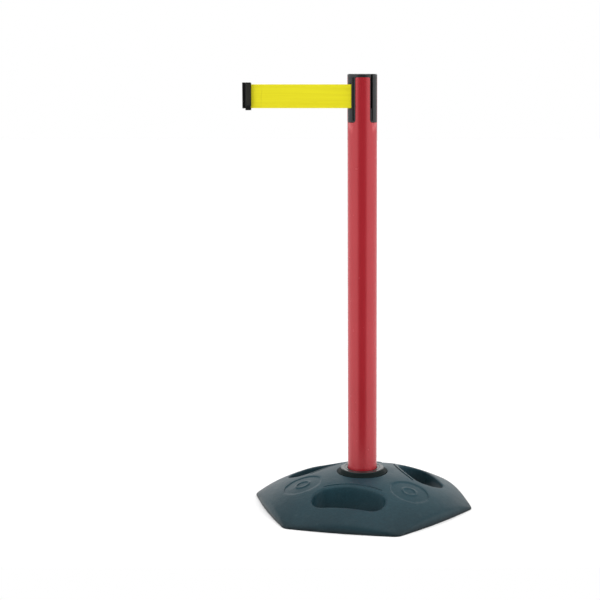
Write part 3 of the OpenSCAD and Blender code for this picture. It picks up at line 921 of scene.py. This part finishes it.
def ribbon(bm, x_to, y_mid, count):
    """Webbing from the tape end to x_to, a little wavy, with thin edges and fuller selvedges."""
    x_from = FOOT_HI.x - BELT_IN
    sections = []
    for i in range(count + 1):
        x = x_from + (x_to - x_from) * i / count
        lift = -0.10 * MM * abs(math.sin(x * 31.0)) - 0.05 * MM * abs(math.sin(x * 87.0))
        section = []
        for side in (-1, 1):
            for j in range(BELT_COLUMNS + 1):
                t = j / BELT_COLUMNS if side < 0 else 1 - j / BELT_COLUMNS
                edge = min(t, 1 - t) * BELT_W
                swell = math.sqrt(max(0.0, 1 - (1 - min(edge / (0.7 * MM), 1)) ** 2))
                selvedge = 0.10 * MM * smoothstep(1 - abs(edge - SELVEDGE_AT) / SELVEDGE_HALF)
                half = BELT_T / 2 * (0.25 + 0.75 * swell) + selvedge / 2
                z = STRIP_LO.z + BELT_W * t
                section.append(bm.verts.new((x, y_mid + side * half + lift, z)))
        sections.append(section)
    for a, b in zip(sections, sections[1:]):
        strip_between(bm, a, b)
    bm.faces.new(sections[0])
    bm.faces.new(list(reversed(sections[-1])))


def build_belt(material):
    """Webbing from inside the head to the tape end, its sewn turn-back lying behind it."""
    bm = bmesh.new()
    ribbon(bm, BELT_START, BELT_Y, 220)
    ribbon(bm, FOLD_END, BELT_Y + BELT_T + FOLD_GAP, 24)
    bmesh.ops.recalc_face_normals(bm, faces=bm.faces)
    belt = new_piece("belt_web", bm, material)
    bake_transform(belt)
    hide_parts("belt_strip")
    smooth(belt, 50)


def add_stitch(bm, x, y, z, along):
    """One stitch at a point: a short thread that dives into the cloth at both ends."""
    middle, outward = Vector((x, y, z)), Vector((0, 1, 0))
    into = math.copysign(STITCH_DIP, BELT_Y + BELT_T / 2 - y)
    side = along.cross(outward)
    turns = [2 * math.pi * k / 8 for k in range(8)]
    rings = []
    for i in range(7):
        t = 2 * i / 6 - 1
        centre = middle + along * (0.40 * STITCH_PITCH * t) + outward * (into * t ** 4)
        radius = STITCH_R * math.sqrt(max(0.12, 1 - t ** 4))
        rings.append([bm.verts.new(centre + side * (radius * math.cos(a))
                                   + outward * (0.8 * radius * math.sin(a))) for a in turns])
    for a, b in zip(rings, rings[1:]):
        strip_between(bm, a, b)
    ends = [bm.faces.new(rings[0]), bm.faces.new(list(reversed(rings[-1])))]
    bmesh.ops.recalc_face_normals(bm, faces=ends)


def build_stitching(material):
    """On both faces, three rows across the turn-back and two along its edges."""
    bm = bmesh.new()
    faces = (BELT_Y - BELT_T / 2 - 0.13 * MM, BELT_Y + BELT_T * 1.5 + 0.08 * MM)
    rows = [FOOT_HI.x + 2.6 * MM, FOOT_HI.x + 5.4 * MM, FOLD_END - 2.2 * MM]
    span = BELT_W - 7 * MM
    count = int(span / STITCH_PITCH)
    for x, y in ((x, y) for x in rows for y in faces):
        for i in range(count):
            z = STRIP_LO.z + 3.5 * MM + (i + 0.5) * span / count
            add_stitch(bm, x, y, z, Vector((0, 0, 1)))
    span = rows[2] - rows[1]
    count = int(span / STITCH_PITCH)
    for z, y in ((z, y) for z in (STRIP_LO.z + 3.2 * MM, STRIP_HI.z - 3.2 * MM) for y in faces):
        for i in range(count):
            add_stitch(bm, rows[1] + (i + 0.5) * span / count, y, z, Vector((1, 0, 0)))
    smooth(new_piece("belt_stitching", bm, material, BELT_END), 80)


# ---------------------------------------------------------------- tape end

# inset and depth, in mm, of the points of a face's edge, from its sunk panel outwards
CASE_PROFILE = ((3.0, 0.75), (2.5, 0.75), (2.2, 0.55), (2.0, 0.12), (1.8, 0.0), (1.1, 0.0),
                (0.55, 0.10), (0.15, 0.40), (0.0, 0.95))
PANEL_PROFILE = ((3.4, 0.50), (3.1, 0.55), (2.9, 0.70), (2.9, 1.0))   # of the plate in it
CASE_LO = (FOOT_LO.x - 0.6 * MM, FOOT_HI.z)
CASE_HI = (CLIP_HI.x, CLIP_HI.z)
CASE_CORNER = 1.8 * MM
PLATE_CORNER = 4 * MM
RAIL_L, RAIL_HALF, NECK_HALF = 4 * MM, 4.1 * MM, 2.2 * MM
RAIL_CORNER = 0.9 * MM


def rounded_rect(lo, hi, inset, radius, steps=4):
    """Corner points of a rectangle between two 2-D points, drawn in and rounded."""
    radius = max(radius - inset, 0.3 * MM)
    x0, y0 = lo[0] + inset + radius, lo[1] + inset + radius
    x1, y1 = hi[0] - inset - radius, hi[1] - inset - radius
    out = []
    for quarter, (x, y) in enumerate(((x1, y1), (x0, y1), (x0, y0), (x1, y0))):
        for i in range(steps + 1):
            angle = math.pi / 2 * (quarter + i / steps)
            out.append((x + radius * math.cos(angle), y + radius * math.sin(angle)))
    return out


def loft(bm, loops):
    """A closed solid through loops that have the same number of points."""
    rows = [[bm.verts.new(point) for point in loop] for loop in loops]
    for a, b in zip(rows, rows[1:]):
        strip_between(bm, a, b)
    bm.faces.new(rows[0])
    bm.faces.new(rows[-1])


def build_tape_case(material):
    """The tape end: a case with a sunk panel in each face, and its T rail on a neck."""
    bm = bmesh.new()
    front = [(inset * MM, CLIP_LO.y + depth * MM) for inset, depth in CASE_PROFILE]
    back = [(inset * MM, CLIP_HI.y - depth * MM) for inset, depth in reversed(CASE_PROFILE)]
    loft(bm, [[(x, y, z) for x, z in rounded_rect(CASE_LO, CASE_HI, inset, CASE_CORNER)]
              for inset, y in front + back])
    # inset of the rail and the neck at each height, with eased ends
    levels = [(0.7, CLIP_LO.z), (0.2, CLIP_LO.z + 0.25 * MM), (0.0, CLIP_LO.z + 0.9 * MM),
              (0.0, CLIP_HI.z - 0.9 * MM), (0.2, CLIP_HI.z - 0.25 * MM), (0.7, CLIP_HI.z)]
    for x0, x1, half in ((CLIP_LO.x, CLIP_LO.x + RAIL_L, RAIL_HALF),
                         (CLIP_LO.x + MM, CASE_LO[0] + MM, NECK_HALF)):
        lo, hi = (x0, BELT_Y - half), (x1, BELT_Y + half)
        loft(bm, [[(x, y, z) for x, y in rounded_rect(lo, hi, inset * MM, RAIL_CORNER)]
                  for inset, z in levels])
    bmesh.ops.recalc_face_normals(bm, faces=bm.faces)
    smooth(new_piece("tape_case", bm, material, BELT_END, ["tape_end_body"]), 40)


def build_case_panels(material):
    """A smooth plate with eased edges, set in the sunk panel of each face of the tape end."""
    bm = bmesh.new()
    for face, inwards in ((CLIP_LO.y, MM), (CLIP_HI.y, -MM)):
        loft(bm, [[(x, face + inwards * depth, z)
                   for x, z in rounded_rect(CASE_LO, CASE_HI, inset * MM, PLATE_CORNER)]
                  for inset, depth in PANEL_PROFILE])
    bmesh.ops.recalc_face_normals(bm, faces=bm.faces)
    smooth(new_piece("tape_case_panels", bm, material, BELT_END), 50)


# ---------------------------------------------------------------- stage, lights, camera

FLOOR_HALF, FLOOR_FRONT, FLOOR_BACK = 9.0, -0.40, 14.0
# light of the room by direction: (position from the camera side at 0 to the back at 1, light)
ROOM = ((0.060, 0.10), (0.115, 1.25), (0.560, 1.25), (0.760, 0.85))
# and how that is scaled by height: (sine of the elevation, factor)
HEIGHTS = ((0.10, 1.0), (0.20, 2.1), (0.34, 2.1), (0.46, 0.5), (0.66, 0.5), (0.80, 1.3))

CAMERA_AT = (0.0, -3.0, 0.968)
CAMERA_DOWN = 7.38           # tilt, in degrees below level
LENS, SENSOR = 84.33, 36.0   # millimetres
SHIFT_X, SHIFT_Y = -0.1038, -0.098
SOFTBOX_W, SOFTBOX_H = 1.2, 1.6
SOFTBOX_AIM = (0, 0, 0.4)    # the middle of the post


def build_stage(material):
    """A white floor under and behind the object; the side towards the camera is left dark."""
    bm = bmesh.new()
    corners = [(-FLOOR_HALF, FLOOR_FRONT), (FLOOR_HALF, FLOOR_FRONT),
               (FLOOR_HALF, FLOOR_BACK), (-FLOOR_HALF, FLOOR_BACK)]
    bm.faces.new([bm.verts.new((x, y, 0)) for x, y in corners])
    new_piece("floor", bm, material)


def build_world():
    """White to the camera; to everything else bright all round but dark on the camera's side."""
    world = bpy.data.worlds.new("studio")
    bpy.context.scene.world = world
    world.use_nodes = True
    nodes, links = world.node_tree.nodes, world.node_tree.links
    nodes.clear()

    def light_ramp(value, stops):
        """Colour ramp of the lights in proportion to the brightest, which is returned too."""
        most = max(light for _, light in stops)
        ramp = nodes.new("ShaderNodeValToRGB")
        fill_ramp(ramp, [(position, light / most) for position, light in stops])
        links.new(value, ramp.inputs["Fac"])
        return ramp.outputs["Color"], most

    direction = nodes.new("ShaderNodeTexCoord")
    split = nodes.new("ShaderNodeSeparateXYZ")
    links.new(direction.outputs["Generated"], split.inputs[0])
    depth = nodes.new("ShaderNodeMapRange")
    depth.inputs["From Min"].default_value = -1.0
    links.new(split.outputs["Y"], depth.inputs["Value"])
    by_depth, most_by_depth = light_ramp(depth.outputs["Result"], ROOM)
    by_height, most_by_height = light_ramp(split.outputs["Z"], HEIGHTS)
    both = nodes.new("ShaderNodeMix")
    both.data_type, both.blend_type = "RGBA", "MULTIPLY"
    both.inputs[0].default_value = 1.0
    links.new(by_depth, both.inputs[6])
    links.new(by_height, both.inputs[7])

    room = nodes.new("ShaderNodeBackground")
    room.inputs["Strength"].default_value = most_by_depth * most_by_height
    links.new(both.outputs[2], room.inputs["Color"])
    seen = nodes.new("ShaderNodeBackground")
    seen.inputs["Color"].default_value = (1, 1, 1, 1)
    path = nodes.new("ShaderNodeLightPath")
    mix = nodes.new("ShaderNodeMixShader")
    links.new(path.outputs["Is Camera Ray"], mix.inputs[0])
    links.new(room.outputs[0], mix.inputs[1])
    links.new(seen.outputs[0], mix.inputs[2])
    out = nodes.new("ShaderNodeOutputWorld")
    links.new(mix.outputs[0], out.inputs["Surface"])


def softbox(name, place, power):
    """A rectangular light that looks at the object and isn't seen itself."""
    data = bpy.data.lights.new(name, "AREA")
    data.shape = "RECTANGLE"
    data.size, data.size_y = SOFTBOX_W, SOFTBOX_H
    data.energy = power
    light = bpy.data.objects.new(name, data)
    light.location = place
    aim = Vector(SOFTBOX_AIM) - Vector(place)
    light.rotation_euler = aim.to_track_quat("-Z", "Y").to_euler()
    light.visible_camera = False
    bpy.context.scene.collection.objects.link(light)


def build_camera():
    data = bpy.data.cameras.new("camera")
    data.sensor_width = SENSOR
    data.lens = LENS
    data.shift_x, data.shift_y = SHIFT_X, SHIFT_Y
    data.dof.use_dof = False
    camera = bpy.data.objects.new("camera", data)
    camera.location = CAMERA_AT
    camera.rotation_euler = (math.radians(90 - CAMERA_DOWN), 0, 0)
    bpy.context.scene.collection.objects.link(camera)
    bpy.context.scene.camera = camera


# ---------------------------------------------------------------- dressing the CAD nodes

def dress(nodes, material, round_off=0.0):
    """Gives CAD nodes their material, with softened edges where round_off is set."""
    for name in nodes:
        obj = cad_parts[name]
        obj.data.materials.clear()
        obj.data.materials.append(material)
        if round_off:
            soften(obj, round_off)


def dress_nodes(head_black, clip_black, webbing):
    cap_black = black_moulding("cap_moulding", (0.012, 0.013, 0.014), 0.30, specular=0.36)
    grey = black_moulding("cassette_moulding", (0.07, 0.075, 0.08), 0.45)
    pale = pale_moulding("spool_moulding", (0.68, 0.68, 0.64), 0.42)
    bush = pale_moulding("bush_moulding", (0.78, 0.76, 0.70), 0.38)
    zinc = worked_metal("zinc_plate", (0.62, 0.63, 0.66), 0.34, (300.0, 300.0, 300.0))
    bright = worked_metal("ground_steel", (0.72, 0.72, 0.73), 0.20, (90.0, 90.0, 2600.0))
    blued = worked_metal("spring_strip", (0.30, 0.31, 0.35), 0.28, (120.0, 120.0, 2200.0))
    cast = worked_metal("cast_alloy", (0.52, 0.53, 0.54), 0.55, (220.0, 220.0, 220.0))
    brass = worked_metal("pressed_brass", (0.66, 0.50, 0.20), 0.30, (420.0, 420.0, 60.0))

    mouldings = ["receiver_front_right", "receiver_rear_right", "receiver_rear_left", "belt_guide"]
    dress(mouldings, head_black, 0.45 * MM)
    dress(["cassette_plate", "top_plate"], head_black)
    dress(["top_cap"], cap_black, 0.4 * MM)
    dress(["tape_end_foot"], clip_black, 0.5 * MM)
    dress(["spring_cup", "spring_cover", "brake_drum"], grey)
    dress(["spool"], pale)
    dress(["bush_lower", "bush_upper"], bush)
    dress(["clamp_disc", "lock_washer", "tie_bolt", "cassette_screws", "shaft_nut", "cap_screw"],
          zinc)
    dress(["foot_pins", "spool_shaft", "brake_pins", "belt_pin"], bright)
    dress(["power_spring"], blued)
    dress(["foot_plug"], cast)
    dress(["brake_rotor"], brass)
    dress(["brake_shoe_a", "brake_shoe_b"], brake_fibre())
    dress(["belt_roll"], webbing)


def main():
    build_camera()
    build_world()
    softbox("key_left", (-2.4, -1.6, 2.2), 14)
    softbox("key_right", (2.6, -1.2, 2.0), 17)
    build_stage(floor_paint())
    bpy.context.scene.view_settings.view_transform = "Standard"
    bpy.context.scene.view_settings.look = "None"

    head_black = black_moulding("head_moulding", (0.011, 0.012, 0.013), 0.34, specular=0.28)
    clip_black = black_moulding("tape_end_moulding", (0.005, 0.005, 0.005), 0.36, specular=0.22)
    webbing = yellow_webbing("yellow_webbing")
    dress_nodes(head_black, clip_black, webbing)
    build_base(recycled_rubber())
    build_sleeve(red_powder_coat())
    build_collar(collar_moulding())
    build_belt(webbing)
    build_stitching(yellow_webbing("yellow_thread", 0.86))
    build_tape_case(clip_black)
    build_case_panels(black_moulding("tape_end_panel", (0.020, 0.020, 0.016), 0.22))


main()
